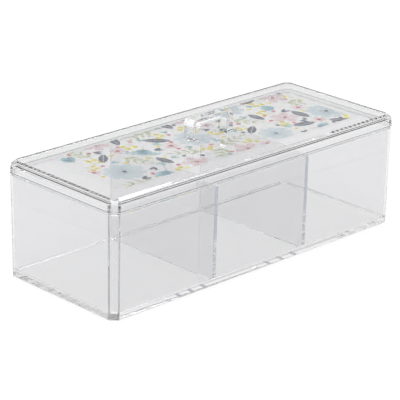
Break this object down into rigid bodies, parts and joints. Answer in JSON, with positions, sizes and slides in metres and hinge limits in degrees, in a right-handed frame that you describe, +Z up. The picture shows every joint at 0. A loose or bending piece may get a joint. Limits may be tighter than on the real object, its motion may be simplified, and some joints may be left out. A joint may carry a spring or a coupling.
{
  "type": "makeup box",
  "caption": "Clear rectangular makeup box: a long tray split across into compartments, with a flush lift-off lid that carries an arched handle and a floral printed film.",
  "frame": {"origin": "centre of the underside, on the surface that the box stands on", "axes": "+X along the box, +Y towards the back long side, +Z up"},
  "size_m": [0.2304, 0.0922, 0.0841],
  "materials": {
    "clear_plastic": "clear and polished, sharp mould edges",
    "printed_film": "clear film with flat floral inks"
  },
  "bodies": {
    "tray": {"tray": "clear_plastic", "divider_left": "clear_plastic", "divider_right": "clear_plastic"},
    "lid": {"lid": "clear_plastic", "lid_handle": "clear_plastic", "lid_print": "printed_film"}
  },
  "joints": [
    {"name": "lid_lift", "type": "slide", "parent": "tray", "child": "lid", "axis": [0, 0, 1], "range_m": [0, 0.1]}
  ]
}
